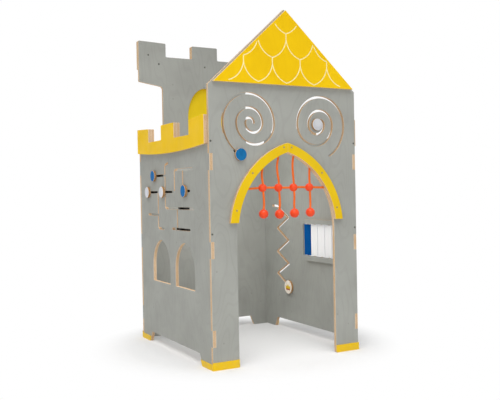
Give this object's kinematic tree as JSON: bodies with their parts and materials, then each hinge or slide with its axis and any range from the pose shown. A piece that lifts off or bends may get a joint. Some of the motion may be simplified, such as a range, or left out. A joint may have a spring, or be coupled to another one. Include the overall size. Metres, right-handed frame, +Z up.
{
  "type": "play castle",
  "caption": "Plywood play castle for small children: slotted boards with an arched doorway, a rope portcullis, sliding maze and spiral knobs, and turning slats",
  "frame": {"origin": "on the floor, at the middle of the castle's width and depth", "axes": "+Z up, the doorway faces -Y, +X to the right of someone who looks at the doorway"},
  "size_m": [0.886, 0.986, 1.747],
  "materials": {
    "grey_stain": "satin grey stain on birch plywood, bare ply edges",
    "yellow_paint": "satin yellow paint on birch plywood, bare ply edges",
    "blue_disc": "blue painted plywood disc, bare ply rim",
    "white_disc": "white painted plywood disc, bare ply rim",
    "slat": "satin paint, white on one face and blue on the other",
    "crown": "yellow painted inlay",
    "dowel": "bare beech dowel",
    "slider": "black moulded nylon",
    "foot_cap": "satin yellow plastic",
    "rope": "orange braided polypropylene rope",
    "ball": "glossy orange-red lacquer",
    "screw": "zinc plated steel",
    "dark_screw": "dark oxidised steel"
  },
  "bodies": {
    "castle": {"front_panel": "grey_stain", "back_panel": "grey_stain", "left_side_panel": "grey_stain", "right_side_panel": "grey_stain", "slat_header_batten": "grey_stain", "slat_sill_batten": "grey_stain", "roof_board": "yellow_paint", "left_arch_trim": "yellow_paint", "right_arch_trim": "yellow_paint", "left_battlement_board": "yellow_paint", "right_battlement_board": "yellow_paint", "tower_battlement_board": "yellow_paint", "tower_window_board": "yellow_paint", "front_left_foot_cap": "foot_cap", "front_right_foot_cap": "foot_cap", "back_left_foot_cap": "foot_cap", "back_right_foot_cap": "foot_cap", "arch_trim_screws": "screw", "tower_head_screws": "dark_screw", "corner_screws": "dark_screw", "hanging_rope_1": "rope", "upper_ball_1": "ball", "lower_ball_1": "ball", "hanging_rope_2": "rope", "upper_ball_2": "ball", "lower_ball_2": "ball", "hanging_rope_3": "rope", "upper_ball_3": "ball", "lower_ball_3": "ball", "hanging_rope_4": "rope", "upper_ball_4": "ball", "lower_ball_4": "ball", "cross_rope": "rope"},
    "maze_piece_1": {"maze_knob_1": "white_disc", "maze_slider_1": "slider"},
    "maze_piece_2": {"maze_knob_2": "blue_disc", "maze_slider_2": "slider"},
    "maze_piece_3": {"maze_knob_3": "white_disc", "maze_slider_3": "slider"},
    "maze_piece_4": {"maze_knob_4": "blue_disc", "maze_slider_4": "slider"},
    "inner_piece_1": {"inner_slider_1": "slider"},
    "inner_piece_2": {"inner_slider_2": "slider"},
    "left_spiral_piece": {"left_spiral_knob": "blue_disc", "left_spiral_slider": "slider"},
    "right_spiral_piece": {"right_spiral_knob": "white_disc", "right_spiral_slider": "slider"},
    "crown_piece": {"crown_knob": "white_disc", "crown_inlay": "crown", "crown_slider": "slider"},
    "slat_piece_1": {"slat_1": "slat", "slat_pins_1": "dowel"},
    "slat_piece_2": {"slat_2": "slat", "slat_pins_2": "dowel"},
    "slat_piece_3": {"slat_3": "slat", "slat_pins_3": "dowel"},
    "slat_piece_4": {"slat_4": "slat", "slat_pins_4": "dowel"},
    "slat_piece_5": {"slat_5": "slat", "slat_pins_5": "dowel"}
  },
  "joints": [
    {"name": "maze_slide_1", "type": "slide", "parent": "castle", "child": "maze_piece_1", "axis": [0, -1, 0], "range_m": [0, 0.112]},
    {"name": "maze_slide_2", "type": "slide", "parent": "castle", "child": "maze_piece_2", "axis": [0, -1, 0], "range_m": [0, 0.149]},
    {"name": "maze_slide_3", "type": "slide", "parent": "castle", "child": "maze_piece_3", "axis": [0, -1, 0], "range_m": [0, 0.142]},
    {"name": "maze_slide_4", "type": "slide", "parent": "castle", "child": "maze_piece_4", "axis": [0, -1, 0], "range_m": [-0.017, 0.049]},
    {"name": "inner_slide_1", "type": "slide", "parent": "castle", "child": "inner_piece_1", "axis": [0, -1, 0], "range_m": [-0.175, 0.178]},
    {"name": "inner_slide_2", "type": "slide", "parent": "castle", "child": "inner_piece_2", "axis": [0, -1, 0], "range_m": [-0.094, 0.127]},
    {"name": "crown_slide", "type": "slide", "parent": "castle", "child": "crown_piece", "axis": [0, 0.8879, 0.4599], "range_m": [0, 0.153]},
    {"name": "left_spiral_turn", "type": "hinge", "parent": "castle", "child": "left_spiral_piece", "pos_m": [-0.172, -0.466, 1.18], "axis": [0, 1, 0], "range_deg": [0, 59]},
    {"name": "right_spiral_turn", "type": "hinge", "parent": "castle", "child": "right_spiral_piece", "pos_m": [0.206, -0.466, 1.18], "axis": [0, 1, 0], "range_deg": [0, 179]},
    {"name": "slat_turn_1", "type": "hinge", "parent": "castle", "child": "slat_piece_1", "pos_m": [0.416, -0.025, 0.5585], "axis": [0, 0, 1], "continuous": true},
    {"name": "slat_turn_2", "type": "hinge", "parent": "castle", "child": "slat_piece_2", "pos_m": [0.416, -0.0955, 0.5585], "axis": [0, 0, 1], "continuous": true},
    {"name": "slat_turn_3", "type": "hinge", "parent": "castle", "child": "slat_piece_3", "pos_m": [0.416, -0.166, 0.5585], "axis": [0, 0, 1], "continuous": true},
    {"name": "slat_turn_4", "type": "hinge", "parent": "castle", "child": "slat_piece_4", "pos_m": [0.416, -0.2365, 0.5585], "axis": [0, 0, 1], "continuous": true},
    {"name": "slat_turn_5", "type": "hinge", "parent": "castle", "child": "slat_piece_5", "pos_m": [0.416, -0.307, 0.5585], "axis": [0, 0, 1], "continuous": true}
  ]
}
